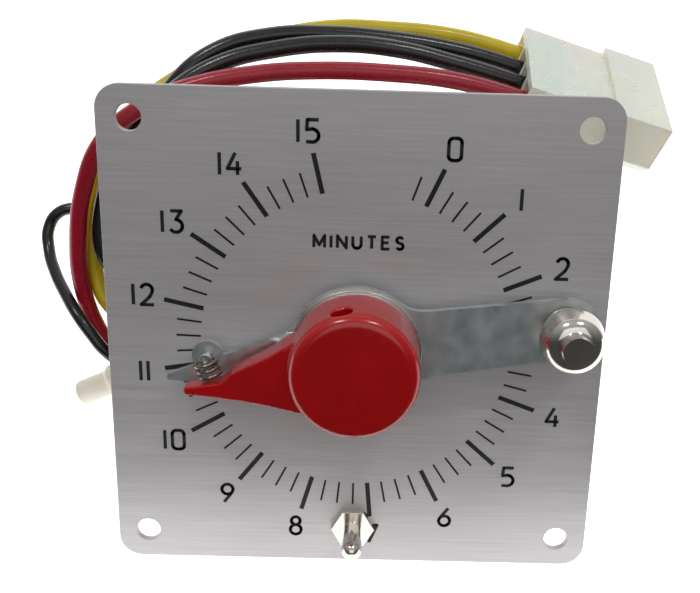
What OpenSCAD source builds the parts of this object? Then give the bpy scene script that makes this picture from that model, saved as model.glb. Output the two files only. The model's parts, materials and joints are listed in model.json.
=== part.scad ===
// Panel timer, 0 to 15 minutes: a square dial plate with a red pointer knob, a set lever with a
// turned handle, a clockwork train driven by a small motor, and a limit switch behind the plate.
// The plate stands upright: +X right, +Z up, and the dial faces -Y. The rear face of the plate,
// at the middle of its four corner holes, is the origin.

/* [Dial plate] */
// Side of the square plate
plate_side = 101.6; // [95:0.1:122]
// Thickness of the plate
plate_t = 1.6; // [1.2:0.1:2]
// Radius of the plate's corners
plate_corner_r = 4.8; // [3:0.1:6]
// Distance between the corner holes, both ways
hole_spacing = 88.9; // [86:0.1:92]
// Diameter of the corner holes
hole_d = 5.1; // [4.2:0.1:6.1]

/* [Scale] */
// Direction of the mark for 0 minutes, clockwise from straight up
zero_angle = 24.3; // [22:0.1:27]
// Turn of the pointer in one minute
minute_angle = 21.5; // [21:0.05:21.8]
// Minutes that the set lever shows
lever_minutes = 10.99; // [10:0.01:12]
// Angle by which the pointer lies behind the lever's tip
pointer_lag = 2.9; // [2.6:0.1:4]

/* [Knob and pointer] */
// Diameter of the red knob
knob_d = 25.4; // [20:0.1:26]
// Height of the knob's back above the front of the plate
knob_base = 7; // [6.9:0.1:8]
// Length of the knob along its axis
knob_len = 13.5; // [11:0.1:17]
// Rounding of the knob's front edge
knob_round = 2.2; // [1:0.1:3]
// Length of the pointer from the axis to its tip
pointer_len = 34.6; // [30:0.1:36]
// Thickness of the pointer arm at its tip
pointer_t = 3.4; // [2.6:0.1:4]
// Thickness of the pointer arm beside the knob
pointer_root_t = 7.4; // [4:0.1:9]
// Diameter of the knob's set screw
set_screw_d = 4; // [3:0.1:4.5]

/* [Set lever] */
// Thickness of the lever
lever_t = 1.6; // [1.2:0.1:1.8]
// Height of the lever's back above the front of the plate
lever_base = 4.2; // [4.1:0.1:4.4]
// Radius of the lever's hub
hub_r = 13.5; // [13:0.1:15]
// Length of the lever from the axis to its pointed tip
tip_len = 38.3; // [37.5:0.1:40]
// Distance from the axis to the handle
handle_reach = 41.9; // [40:0.1:43]
// Angle by which the handle arm leads the line of the tip
arm_skew = 1.1; // [0:0.1:3]
// Width of the handle arm at its end
arm_w = 12.3; // [10:0.1:13]
// Diameter of the handle's head
handle_d = 12.7; // [10:0.1:14]
// Height of the handle above the lever
handle_h = 13.4; // [10:0.1:16]

/* [Shafts] */
// Diameter of the main arbor that carries the knob
arbor_d = 6.35; // [5:0.05:6.5]
// Outside diameter of the lever's sleeve
sleeve_d = 8.6; // [8.3:0.05:9]
// Outside diameter of the threaded panel bushing
bushing_d = 11.1; // [10.6:0.1:12]
// Radial play of a turning fit
running_play = 0.05; // [0.03:0.01:0.08]

/* [Stop stud] */
// Distance of the stop stud below the axis
stop_reach = 42.3; // [41:0.1:43]
// Size of the stud's hexagon across its flats
stop_hex = 8.25; // [7:0.05:9]
// Height of the stud above the plate
stop_h = 12; // [10:0.1:14]

/* [Clockwork] */
// Side of the square frame plates
frame_side = 74; // [72:0.1:78]
// Thickness of the frame plates
frame_t = 1.6; // [1.2:0.1:1.8]
// Clear distance between the frame plates
frame_gap = 29.4; // [29:0.1:32]
// Distance of each pillar from the middle, both ways
pillar_reach = 31; // [30.5:0.1:32]
// Diameter of the pillars
pillar_d = 6; // [5:0.1:6.5]
// Diameter of the motor
motor_d = 50; // [44:0.1:52]
// Depth of the motor
motor_depth = 16; // [13:0.1:20]

/* [Harness] */
// Diameter of the four main wires
wire_d = 3.6; // [3:0.1:3.6]
// Diameter of the two motor leads
lead_d = 2.6; // [2:0.1:2.6]

/* [Hidden] */

$fn = 64;
lever_angle = zero_angle + minute_angle * lever_minutes;
pointer_angle = lever_angle - pointer_lag;
lever_top = lever_base + lever_t;
stroke_gap = 0.1;

// Places behind the plate, measured back from its rear face
frame_y = frame_t;
rear_frame_y = frame_t + frame_gap;
collar_y = 5.2;
spring_y = 6.6;
cam_y = 9.2;
cam_t = 2.8;
cam_r = 12;
cam_lobe_r = 14.2;
clutch_y = 13.4;
wheel_y = 16.2;
wheel_t = 2;
second_wheel_y = 22.4;
second_wheel_t = 1.6;

// Gear train
wheel_module = 0.6;
wheel_teeth = 72;
first_pinion_teeth = 12;
second_module = 0.4;
second_teeth = 67;
motor_teeth = 24;
first_centres = wheel_module * (wheel_teeth + first_pinion_teeth) / 2;
second_centres = second_module * (second_teeth + motor_teeth) / 2;
first_dir = 45;
inter_x = first_centres * cos(first_dir);
inter_z = first_centres * sin(first_dir);
motor_x = inter_x - second_centres;
motor_z = inter_z;
inter_arbor_d = 3;
motor_shaft_d = 3;

// Limit switch
switch_w = 15.9;
switch_l = 27.8;
switch_t = 10.3;
switch_face_x = -17.5;
switch_back_x = switch_face_x - switch_w;
switch_y0 = cam_y + cam_t / 2 - switch_t / 2;
leaf_tilt = 5;
leaf_t = 0.4;
leaf_pin_x = switch_face_x + 1.3;
leaf_pin_z = 10.6;
leaf_pin_d = 1;
leaf_len = 23;
leaf_w = 4.4;
button_z = 3.6;
button_d = 2.4;
tab_zs = [-9, 0, 9];
tab_len = 6.6;
boot_len = 12;

// A thing that stands on the front of the plate, drawn as seen from the front
module front(h) translate([0, -plate_t - h, 0]) rotate([90, 0, 0]) children();

// A thing behind the plate whose rear face lies at y, drawn as seen from the front
module behind(y) translate([0, y, 0]) rotate([90, 0, 0]) children();

// Turns a thing drawn pointing up to a clockwise dial angle
module to_angle(a) rotate([0, 0, -a]) children();

module ring(outer, inner, t) difference() {
    cylinder(h = t, d = outer);
    translate([0, 0, -1]) cylinder(h = t + 2, d = inner);
}

module rounded_square(side, r) {
    half = side / 2 - r;
    union() {
        square([side, side - 2 * r], center = true);
        square([side - 2 * r, side], center = true);
        for (x = [-half, half], y = [-half, half]) translate([x, y]) circle(r = r);
    }
}

module at_corners(reach) for (x = [-reach, reach], y = [-reach, reach]) translate([x, y, 0]) children();

// ---------- dial plate and what is fixed on it ----------

module dial_plate() color([0.72, 0.72, 0.72]) front(-plate_t) linear_extrude(plate_t) difference() {
    rounded_square(plate_side, plate_corner_r);
    at_corners(hole_spacing / 2) circle(d = hole_d);
    circle(d = bushing_d + 0.3);
    translate([0, -stop_reach]) circle(d = 4.4);
}

nut_t = 2.4;
lock_washer_t = 0.6;
bushing_out = lock_washer_t + nut_t + 0.3;
bushing_flange_t = 2;

// The bushing clamps the dial plate to the front frame; its flange sits behind the frame
module panel_bushing() color([0.80, 0.68, 0.36]) difference() {
    union() {
        front(-plate_t - frame_t) cylinder(h = bushing_out + plate_t + frame_t, d = bushing_d);
        behind(frame_y + bushing_flange_t) cylinder(h = bushing_flange_t, d = 16);
    }
    behind(frame_y + bushing_flange_t + 1) cylinder(h = 30, d = sleeve_d + 2 * running_play);
}

module bushing_nut() color([0.78, 0.78, 0.76]) front(lock_washer_t) difference() {
    cylinder(h = nut_t, d = 15.9 / cos(30), $fn = 6);
    translate([0, 0, -1]) cylinder(h = nut_t + 2, d = bushing_d + 0.02);
}

module lock_washer() color([0.70, 0.70, 0.68]) front(0) ring(18, bushing_d + 0.3, lock_washer_t);

stop_shank_d = 3.7;
stop_head_d = 4.25;
stop_flange_t = 1.8;

module stop_stud() color([0.82, 0.79, 0.72]) translate([0, 0, -stop_reach]) {
    front(0) cylinder(h = stop_flange_t, d = stop_hex / cos(30), $fn = 6);
    front(stop_flange_t) rotate_extrude() polygon([
        [0, 0], [stop_shank_d / 2, 0], [stop_head_d / 2, stop_h - stop_flange_t - 2.2],
        for (a = [0:15:90]) [
            stop_head_d / 2 * cos(a), stop_h - stop_flange_t - 2.2 + 2.2 * sin(a)]]);
    behind(4.6) cylinder(h = 4.6 + plate_t, d = 4.1);
}

module stop_stud_nut() color([0.76, 0.76, 0.74]) translate([0, 0, -stop_reach]) behind(3) difference() {
    cylinder(h = 3, d = 8 / cos(30), $fn = 6);
    translate([0, 0, -1]) cylinder(h = 5, d = 4.12);
}

// ---------- set lever, which turns on the bushing and stays where it is put ----------

friction_t = lever_base - bushing_out;

module friction_washer() color([0.66, 0.66, 0.62]) front(bushing_out)
    ring(16, sleeve_d + 0.4, friction_t - stroke_gap);

tip_r = 0.7;
ear_r = 3.1;
ear_reach = 29.4;
ear_out = 3.4;

function on_line(r, a) = [r * sin(a), r * cos(a)];

// Fills the corner between the hub and an arm of the given half width
module root_fillet(half, r) {
    middle = [half + r, sqrt(pow(hub_r + r, 2) - pow(half + r, 2))];
    difference() {
        polygon([[0, 0], middle * hub_r / (hub_r + r), [half, middle.y], [0, middle.y]]);
        translate(middle) circle(r = r);
    }
}

module lever_outline() {
    arm_end = handle_reach + 0.6;
    arm_root_half = arm_w / 2 + 1.1;
    fillet_r = 7;
    // handle arm, drawn upwards, with its rounded end
    rotate(-180 - arm_skew) {
        polygon([[-arm_root_half, 0], [-arm_w / 2, arm_end], [arm_w / 2, arm_end], [arm_root_half, 0]]);
        translate([0, arm_end]) circle(d = arm_w);
    }
    // pointed arm
    tip_half = 5.8;
    polygon([[-tip_half, 13], [-tip_r, tip_len - tip_r], [tip_r, tip_len - tip_r], [tip_half, 13],
        [tip_half, 0], [-tip_half, 0]]);
    translate([0, tip_len - tip_r]) circle(r = tip_r);
    circle(r = hub_r);
    // fillets where the arms leave the hub
    for (side = [0, 1]) {
        mirror([side, 0]) root_fillet(5.1, fillet_r);
        rotate(-180 - arm_skew) mirror([side, 0]) root_fillet(arm_root_half - 0.3, fillet_r);
    }
    // ear beside the pointed arm that carries the bumper
    translate([ear_out, ear_reach]) circle(r = ear_r);
}

module set_lever() color([0.62, 0.67, 0.70]) front(lever_base) difference() {
    linear_extrude(lever_t) to_angle(lever_angle) difference() {
        lever_outline();
        circle(d = sleeve_d);
        rotate(-arm_skew) translate(-on_line(handle_reach, 0)) circle(d = 4);
        translate([ear_out, ear_reach]) circle(d = rivet_d);
    }
}

sleeve_out = lever_top;
sleeve_bore = arbor_d + 2 * running_play;

module lever_sleeve() color([0.72, 0.72, 0.70]) difference() {
    union() {
        behind(collar_y + 1) cylinder(h = collar_y + 1 + plate_t + lever_top, d = sleeve_d);
        front(lever_top) cylinder(h = 0.4, d = sleeve_d + 1.6);
    }
    behind(collar_y + 2) cylinder(h = 40, d = sleeve_bore);
}

// Turned handle with a waisted neck and a head with a broad bevel
module lever_handle() color([0.84, 0.82, 0.76]) front(lever_top) to_angle(lever_angle + arm_skew)
    translate([0, -handle_reach, 0]) {
        neck_h = 3.2;
        face_r = 2.9;
        rotate_extrude() polygon(concat(
            [[0, 0], [3.7, 0], [3.7, 0.7]],
            [for (a = [0:15:75]) [2.7 + 1 * (1 - sin(a + 15)), 0.7 + neck_h * 0.45 * (1 - cos(a + 15))]],
            [[2.9, neck_h], [handle_d / 2 - 1.2, neck_h + 1.1]],
            [for (a = [-60:15:30]) [handle_d / 2 - 1.2 + 1.2 * cos(a), neck_h + 2.2 + 1.2 * sin(a)]],
            [for (a = [30:10:80]) [face_r + (handle_d / 2 - face_r - 0.15) * cos((a - 30) * 1.7) * 0.99,
                neck_h + 3 + (handle_h - neck_h - 3) * sin((a - 30) * 1.8)]],
            [[face_r, handle_h], [0, handle_h]]));
        translate([0, 0, -lever_t]) cylinder(h = lever_t, d = 4);
        translate([0, 0, -lever_t - 0.5]) cylinder(h = 0.5, d = 5.6);
    }

rivet_d = 1.4;
rivet_head_d = 2.5;

module tip_rivet() color([0.78, 0.78, 0.74]) front(lever_base) to_angle(lever_angle)
    translate([ear_out, ear_reach, 0]) difference() {
        union() {
            translate([0, 0, -0.4]) cylinder(h = 0.4, d = 2.6);
            cylinder(h = lever_t + 1.9, d = rivet_d);
            translate([0, 0, lever_t + 1.9]) cylinder(h = 0.7, d = rivet_head_d);
        }
        translate([0, 0, lever_t + 2]) cylinder(h = 2, d = 0.9);
    }

// Coil bumper: it hangs on the rivet and cushions the pointer's edge
coil_d = 5;
coil_wire = 0.75;
coil_turns = 2.8;
coil_sides = 6;
coil_steps = 15;
coil_pitch = 1.25;
coil_height = lever_top + coil_d / 2 + 0.05;
coil_lean = 13;
coil_first = -59;

// A point of the coil, whose axis leans to stand square on the pointer's tapered edge
function coil_point(i) = let (
    a = coil_first + i * 360 / coil_steps,
    across = (coil_d - coil_wire) / 2 * cos(a),
    along = i * coil_pitch / coil_steps)
    [ear_out - along * cos(coil_lean) - across * sin(coil_lean),
     ear_reach + 0.15 - along * sin(coil_lean) + across * cos(coil_lean),
     (coil_d - coil_wire) / 2 * sin(a)];

module tube(points, d, sides) {
    n = len(points);
    dirs = [for (i = [0:n - 1]) let (v = points[min(i + 1, n - 1)] - points[max(i - 1, 0)]) v / norm(v)];
    // carries one frame along the path so that the tube doesn't twist
    first = let (u = abs(dirs[0].z) < 0.9 ? cross(dirs[0], [0, 0, 1]) : cross(dirs[0], [0, 1, 0])) u / norm(u);
    sides_u = [for (i = 0, u = first; i < n;
        i = i + 1, u = i < n ? let (w = u - dirs[i] * (u * dirs[i])) w / norm(w) : u) u];
    ring_points = [for (i = [0:n - 1]) let (u = sides_u[i], w = cross(dirs[i], u))
        for (k = [0:sides - 1]) points[i] + d / 2 * (u * cos(k * 360 / sides) + w * sin(k * 360 / sides))];
    walls = [for (i = [0:n - 2], k = [0:sides - 1]) let (a = i * sides + k, b = i * sides + (k + 1) % sides)
        [a, a + sides, b + sides, b]];
    start_cap = [for (k = [0:sides - 1]) k];
    end_cap = [for (k = [sides - 1:-1:0]) (n - 1) * sides + k];
    polyhedron(points = ring_points, faces = concat(walls, [start_cap], [end_cap]), convexity = 10);
}

module bumper_spring() color([0.60, 0.58, 0.52]) front(coil_height) to_angle(lever_angle)
    tube([for (i = [0:coil_turns * coil_steps]) coil_point(i)], coil_wire, coil_sides);

// ---------- knob, pointer and arbor ----------

washer_gap = knob_base - lever_top;

module hub_washers() color([0.80, 0.80, 0.76]) {
    front(lever_top + 0.1) ring(26.2, sleeve_d + 2.4, 0.45);
    front(lever_top + 0.6) ring(25.2, arbor_d + 2 * running_play, washer_gap - 0.65);
}

screw_h = knob_base + knob_len - 3.8;
screw_len = 4.5;
screw_in = 7.2;

module pointer_outline() {
    polygon([
        [-8.4, 9], [-7.1, 13], [-6.1, 15.6], [-5, 18.4], [-4, 21.5], [-3.2, 24.2], [-2.2, 28],
        [-0.85, pointer_len - 0.85], [0.85, pointer_len - 0.85],
        [0.8, 28.6], [0.85, 26.9], [1.4, 25.6], [2.5, 24.2], [3.4, 21.5], [4.3, 18.4], [5.2, 15.6],
        [6.3, 13.2], [7.6, 9.6]]);
    translate([0, pointer_len - 0.85]) circle(r = 0.85);
}

insert_d = 11;
insert_len = knob_len - 1.6;

module pointer_knob() color([0.78, 0.02, 0.05]) difference() {
    union() {
        front(knob_base) rotate_extrude() polygon([
            [0, 0], [knob_d / 2, 0], [knob_d / 2 - 0.2, knob_len - knob_round],
            for (a = [0:15:90]) [
                knob_d / 2 - 0.2 - knob_round + knob_round * cos(a),
                knob_len - knob_round + knob_round * sin(a)],
            [0, knob_len]]);
        front(knob_base) intersection() {
            linear_extrude(pointer_root_t) to_angle(pointer_angle) pointer_outline();
            // slope from the knob down to the tip
            to_angle(pointer_angle) rotate([90, 0, 90]) translate([0, 0, -15]) linear_extrude(30) polygon([
                [0, -1], [0, pointer_root_t + 1], [knob_d / 2 - 2, pointer_root_t + 1],
                [knob_d / 2, pointer_root_t], [pointer_len + 1, pointer_t], [pointer_len + 1, -1]]);
        }
    }
    front(knob_base - 1) cylinder(h = insert_len + 1, d = insert_d);
    front(screw_h) to_angle(pointer_angle + 90) rotate([-90, 0, 0])
        translate([0, 0, insert_d / 2 - 1]) cylinder(h = 20, d = set_screw_d + 0.2, $fn = 32);
}

module knob_insert() color([0.80, 0.66, 0.32]) difference() {
    front(knob_base) cylinder(h = insert_len, d = insert_d);
    front(knob_base - 1) cylinder(h = insert_len - 0.5, d = arbor_d);
    front(screw_h) to_angle(pointer_angle + 90) rotate([-90, 0, 0]) cylinder(h = 20, d = set_screw_d, $fn = 32);
}

module knob_set_screw() color([0.20, 0.20, 0.21]) front(screw_h) to_angle(pointer_angle + 90)
    rotate([-90, 0, 0]) translate([0, 0, arbor_d / 2]) difference() {
        cylinder(h = screw_len, d = set_screw_d, $fn = 32);
        translate([0, 0, screw_len - 1.6]) cylinder(h = 2, d = 2.1, $fn = 6);
    }

arbor_front = knob_base + knob_len - 3.2;
arbor_rear_y = rear_frame_y + frame_t - 0.1;

module main_arbor() color([0.70, 0.70, 0.72]) union() {
    behind(clutch_y) cylinder(h = clutch_y + plate_t + arbor_front, d = arbor_d);
    behind(wheel_y + wheel_t + 2.4) cylinder(h = wheel_t + 2.4 + wheel_y - clutch_y + 0.1, d = 5);
    behind(arbor_rear_y) cylinder(h = arbor_rear_y - wheel_y - wheel_t - 2.3, d = 4);
}

// ---------- clockwork frame ----------

module front_frame() color([0.74, 0.76, 0.76]) behind(frame_y) linear_extrude(frame_t) difference() {
    rounded_square(frame_side, 3);
    circle(d = bushing_d + 0.3);
    at_corners(pillar_reach) circle(d = 4);
    translate([inter_x, inter_z]) circle(d = 5);
    for (z = [-switch_l / 2 + 3, switch_l / 2 - 3]) translate([switch_back_x + 4, z]) circle(d = 3.2);
}

module rear_frame() color([0.74, 0.76, 0.76]) behind(rear_frame_y + frame_t) linear_extrude(frame_t)
    difference() {
        rounded_square(frame_side, 3);
        circle(d = 8);
        at_corners(pillar_reach) circle(d = 3.4);
        translate([inter_x, inter_z]) circle(d = 5);
        translate([motor_x, motor_z]) circle(d = 13);
        for (s = [-1, 1]) translate([motor_x + s * motor_ear, motor_z]) circle(d = 3.2);
    }

module frame_pillars() color([0.80, 0.70, 0.42]) behind(rear_frame_y) at_corners(pillar_reach) difference() {
    union() {
        cylinder(h = frame_gap, d = pillar_d);
        translate([0, 0, frame_gap]) cylinder(h = frame_t, d = 4);
    }
    translate([0, 0, -1]) cylinder(h = 7, d = 3);
}

module pillar_screws() color([0.72, 0.72, 0.70]) behind(rear_frame_y + frame_t) at_corners(pillar_reach)
    screw(3, 5.6, 2, frame_t + 5);

// A pan head screw with a slot: its head is below z = 0 and its shank rises
module screw(d, head_d, head_h, len) {
    difference() {
        translate([0, 0, -head_h]) cylinder(h = head_h, d = head_d);
        translate([-head_d, -0.4, -head_h - 1]) cube([2 * head_d, 0.8, 1.9]);
    }
    cylinder(h = len, d = d);
}

// ---------- what turns behind the front frame ----------

collar_d = 30;

module sleeve_collar() color([0.78, 0.70, 0.45]) {
    behind(collar_y) difference() {
        cylinder(h = 1.2, d = collar_d);
        translate([0, 0, -1]) cylinder(h = 4, d = sleeve_d);
    }
    behind(spring_y + 1.6) translate([0, -13.6, 0]) cylinder(h = spring_y + 1.6 - collar_y, d = 1.6);
}

spiral_turns = 3.5;
spiral_in = arbor_d / 2 + 0.5;
spiral_out = 12;
spiral_t = 0.3;
spiral_steps = 24;

function spiral_r(i) = spiral_in + (spiral_out - spiral_in) * i / (spiral_turns * spiral_steps);
function spiral_at(i, off) = let (a = 360 * i / spiral_steps + 90) (spiral_r(i) + off) * [cos(a), sin(a)];

// Flat spiral spring that pulls the pointer back against the lever
module return_spring() color([0.32, 0.36, 0.46]) behind(spring_y + 1.4) linear_extrude(1.4) {
    n = spiral_turns * spiral_steps;
    polygon(concat(
        [for (i = [0:n]) spiral_at(i, spiral_t)],
        [for (i = [n:-1:0]) spiral_at(i, 0)]));
    difference() {
        circle(r = spiral_in + spiral_t);
        circle(d = arbor_d);
    }
}

module switch_cam() color([0.16, 0.16, 0.17]) behind(cam_y + cam_t) linear_extrude(cam_t) difference() {
    union() {
        circle(r = cam_r);
        to_angle(pointer_angle - zero_angle - 90) intersection() {
            circle(r = cam_lobe_r);
            polygon([[0, 0], [-7, 20], [7, 20]]);
        }
    }
    circle(d = arbor_d);
}

module clutch_disc() color([0.80, 0.68, 0.38]) behind(clutch_y + 1.2) difference() {
    cylinder(h = 1.2, d = 26);
    translate([0, 0, -1]) cylinder(h = 4, d = 5);
}

module clutch_washer() color([0.45, 0.24, 0.12]) behind(wheel_y - 0.1) difference() {
    cylinder(h = wheel_y - 0.1 - clutch_y - 1.2, d = 24);
    translate([0, 0, -1]) cylinder(h = 4, d = 5);
}

// One tooth of a gear as corners, at the angle a
function tooth(r, m, teeth, a, play) = let (
    half = (PI * m / 2 - play) / 2 / r * 180 / PI,
    tip = r + 0.9 * m,
    root = r - 1.15 * m,
    tip_half = half - 0.9 * m * tan(20) / r * 180 / PI,
    root_half = half + 1.15 * m * tan(14) / r * 180 / PI)
    [for (c = [[root, -root_half], [tip, -tip_half], [tip, tip_half], [root, root_half]])
        c[0] * [cos(a + c[1]), sin(a + c[1])]];

module gear_outline(m, teeth, phase, play = 0.1) polygon([
    for (i = [0:teeth - 1]) each tooth(m * teeth / 2, m, teeth, phase + i * 360 / teeth, play)]);

module timing_wheel() color([0.84, 0.72, 0.40]) behind(wheel_y + wheel_t) linear_extrude(wheel_t)
    difference() {
        gear_outline(wheel_module, wheel_teeth, first_dir);
        circle(d = 5 + 2 * running_play);
        for (a = [0:60:300]) rotate(a) translate([14, 0]) circle(d = 8);
    }

module intermediate_pinion() color([0.72, 0.72, 0.74]) translate([inter_x, 0, inter_z]) {
    behind(wheel_y + wheel_t + 0.5) linear_extrude(wheel_t + 1)
        gear_outline(wheel_module, first_pinion_teeth, first_dir + 180 + 180 / first_pinion_teeth);
    behind(second_wheel_y) cylinder(h = second_wheel_y - wheel_y - wheel_t - 0.5, d = 5.4);
    behind(arbor_rear_y) cylinder(h = arbor_rear_y - second_wheel_y, d = inter_arbor_d);
    behind(wheel_y - 0.5) cylinder(h = wheel_y - 0.5 - 0.2, d = inter_arbor_d);
}

module intermediate_wheel() color([0.84, 0.72, 0.40]) translate([inter_x, 0, inter_z])
    behind(second_wheel_y + second_wheel_t) linear_extrude(second_wheel_t) difference() {
        gear_outline(second_module, second_teeth, 180);
        circle(d = inter_arbor_d);
        for (a = [0:72:288]) rotate(a) translate([7.6, 0]) circle(d = 4.6);
    }

module motor_pinion() color([0.80, 0.68, 0.36]) translate([motor_x, 0, motor_z]) {
    behind(second_wheel_y + second_wheel_t + 0.6) linear_extrude(second_wheel_t + 1.2)
        gear_outline(second_module, motor_teeth, 180 / motor_teeth);
    behind(motor_y + cover_t + shaft_seat - 0.2)
        cylinder(h = motor_y + cover_t + shaft_seat - second_wheel_y - second_wheel_t - 0.8, d = motor_shaft_d);
}

module arbor_bush() color([0.80, 0.66, 0.32]) behind(rear_frame_y + frame_t) difference() {
    union() {
        cylinder(h = frame_t, d = 8);
        translate([0, 0, frame_t]) cylinder(h = 1, d = 10);
    }
    translate([0, 0, -1]) cylinder(h = 6, d = 4 + 2 * running_play);
}

module intermediate_bushes() color([0.80, 0.66, 0.32]) translate([inter_x, 0, inter_z])
    for (y = [frame_y, rear_frame_y + frame_t]) behind(y)
        ring(5, inter_arbor_d + 2 * running_play, frame_t);

// ---------- motor ----------

motor_ear = 30;
cover_t = 1;
motor_y = rear_frame_y + frame_t;
shaft_seat = 4;

module motor_cover() color([0.76, 0.77, 0.78]) translate([motor_x, 0, motor_z]) behind(motor_y + cover_t)
    linear_extrude(cover_t) difference() {
        union() {
            circle(d = motor_d + 1);
            square([2 * motor_ear, 9], center = true);
            for (s = [-1, 1]) translate([s * motor_ear, 0]) circle(d = 9);
        }
        circle(d = 13);
        for (s = [-1, 1]) translate([s * motor_ear, 0]) circle(d = 3.4);
    }

module motor_can() color([0.70, 0.71, 0.73]) translate([motor_x, 0, motor_z])
    behind(motor_y + cover_t + motor_depth) rotate_extrude() polygon([
        [0, 0], [motor_d / 2 - 3, 0],
        for (a = [-75:15:0]) [motor_d / 2 - 3 + 3 * cos(a), 3 + 3 * sin(a)],
        [motor_d / 2, motor_depth], [motor_shaft_d / 2 + running_play, motor_depth],
        [motor_shaft_d / 2 + running_play, motor_depth - shaft_seat], [0, motor_depth - shaft_seat]]);

module motor_screws() color([0.72, 0.72, 0.70]) for (s = [-1, 1])
    translate([motor_x + s * motor_ear, 0, motor_z]) behind(motor_y + cover_t) screw(3, 5.6, 2, cover_t + frame_t + 1.4);

grommet_y = motor_y + 8;
grommet_z = motor_z + 6;
grommet_x = motor_x - motor_d / 2 - 1.3;

module motor_grommet() color([0.12, 0.12, 0.12]) difference() {
    translate([grommet_x, grommet_y, grommet_z]) rotate([0, 90, 0]) cylinder(h = 6, d = 8);
    motor_can();
}

// ---------- limit switch ----------

module switch_block(y0, t) translate([switch_back_x, y0, -switch_l / 2]) difference() {
    cube([switch_w, t, switch_l]);
    for (z = [3, switch_l - 3]) translate([4, t + 1, z]) rotate([90, 0, 0]) cylinder(h = t + 2, d = 3);
}

module switch_case() color([0.13, 0.13, 0.14]) difference() {
    union() {
        switch_block(switch_y0, switch_t - 1.5);
        for (y = [boot_y - 3.55, boot_y + 2.35])
            translate([switch_face_x - 0.2, y, leaf_pin_z - 1.4]) cube([2.5, 1.2, 2.8]);
    }
    translate([switch_face_x - 4, switch_y0 + switch_t / 2, button_z]) rotate([0, 90, 0])
        cylinder(h = 5, d = button_d + 0.2);
    translate([leaf_pin_x, switch_y0 + switch_t, leaf_pin_z]) rotate([90, 0, 0])
        cylinder(h = switch_t, d = leaf_pin_d);
    for (z = tab_zs) translate([switch_back_x - 1, switch_y0 + switch_t / 2 - 0.4, z - 3.15]) cube([3, 0.8, 6.3]);
    translate([switch_back_x + 4.6, switch_y0 + 2.4, -6.4]) cube([6, 5, 12.8]);
}

module switch_lid() color([0.20, 0.20, 0.21]) switch_block(switch_y0 + switch_t - 1.5, 1.5);

module switch_pin() color([0.75, 0.75, 0.75]) translate([leaf_pin_x, boot_y, leaf_pin_z])
    rotate([90, 0, 0]) cylinder(h = 7.1, d = leaf_pin_d, center = true);

module switch_leaf() color([0.80, 0.80, 0.78]) translate([leaf_pin_x, switch_y0 + switch_t / 2, leaf_pin_z])
    rotate([0, -leaf_tilt, 0]) difference() {
        union() {
            rotate([90, 0, 0]) cylinder(h = leaf_w, d = 2, center = true);
            translate([0.25, -leaf_w / 2, -leaf_len]) cube([leaf_t, leaf_w, leaf_len]);
        }
        rotate([90, 0, 0]) cylinder(h = leaf_w + 2, d = leaf_pin_d + 2 * running_play, center = true);
    }

leaf_at_button = leaf_pin_x + 0.25 + (leaf_pin_z - button_z) * tan(leaf_tilt);

module switch_button() color([0.75, 0.12, 0.10])
    translate([switch_face_x - 3.2, switch_y0 + switch_t / 2, button_z]) rotate([0, 90, 0])
        cylinder(h = leaf_at_button - 0.2 - switch_face_x + 3.2, d = button_d);

module switch_tabs() color([0.85, 0.80, 0.62]) for (z = tab_zs)
    translate([switch_back_x - tab_len, switch_y0 + switch_t / 2 - 0.4, z - 3.15])
        cube([tab_len + 2, 0.8, 6.3]);

module switch_screws() color([0.72, 0.72, 0.70]) for (z = [-switch_l / 2 + 3, switch_l / 2 - 3])
    translate([switch_back_x + 4, 0, z]) behind(switch_y0 + switch_t)
        screw(2.9, 5.2, 1.8, switch_y0 + switch_t - 0.2);

// Insulated push-on terminals on the four tabs; each wire comes out of its boot's left end
boot_end_x = switch_back_x - boot_len;
boot_y = switch_y0 + switch_t / 2;
lead_step = 4.4;

module boot(z, front = 2.3) difference() {
    union() {
        translate([boot_end_x + 4, boot_y - front, z - 4]) cube([boot_len - 4.6, 2.3 + front, 8]);
        translate([boot_end_x, boot_y, z]) rotate([0, 90, 0]) cylinder(h = 4.5, d = wire_d + 1.6);
    }
    translate([switch_back_x - tab_len, boot_y - 0.4, z - 3.15]) cube([tab_len, 0.8, 6.3]);
}

// The lowest boot takes a motor lead as well as its wire
module terminal_boots() color([0.75, 0.12, 0.10]) {
    for (i = [1, 2]) boot(tab_zs[i]);
    boot(tab_zs[0], lead_step + 1.8);
    translate([boot_end_x, boot_y - lead_step, tab_zs[0]]) rotate([0, 90, 0]) cylinder(h = 4.5, d = lead_d + 1.2);
}

// ---------- harness ----------

plug_at = [33.2, 25.5, 52.1];
plug_turn = [26, 16.5, 5];
plug_pitch = 6.35;
plug_body_w = 26;
plug_body_t = 10.4;
plug_len = 31;
shroud_len = 12;
shroud_step = 1.1;
plug_ways = 4;

module in_plug() translate(plug_at) rotate(plug_turn) children();

// Rear half with four cells, and a shroud at the front with two bevelled corners
module harness_plug() color([0.90, 0.92, 0.78]) in_plug() difference() {
    union() {
        translate([0, -plug_body_w / 2, -plug_body_t / 2])
            cube([plug_len - shroud_len + 1, plug_body_w, plug_body_t]);
        translate([plug_len - shroud_len, 0, 0]) shroud(plug_body_w / 2 + shroud_step, plug_body_t / 2 + shroud_step);
    }
    translate([plug_len - shroud_len + 2, 0, 0]) shroud(plug_body_w / 2 - 0.2, plug_body_t / 2 - 0.2);
    for (i = [0:plug_ways - 1]) {
        y = (i - (plug_ways - 1) / 2) * plug_pitch;
        translate([-1, y, 0]) rotate([0, 90, 0]) cylinder(h = plug_len, d = 2.2);
        translate([-1, y - 2.6, -3.6]) cube([9, 5.2, 7.2]);
    }
}

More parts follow.
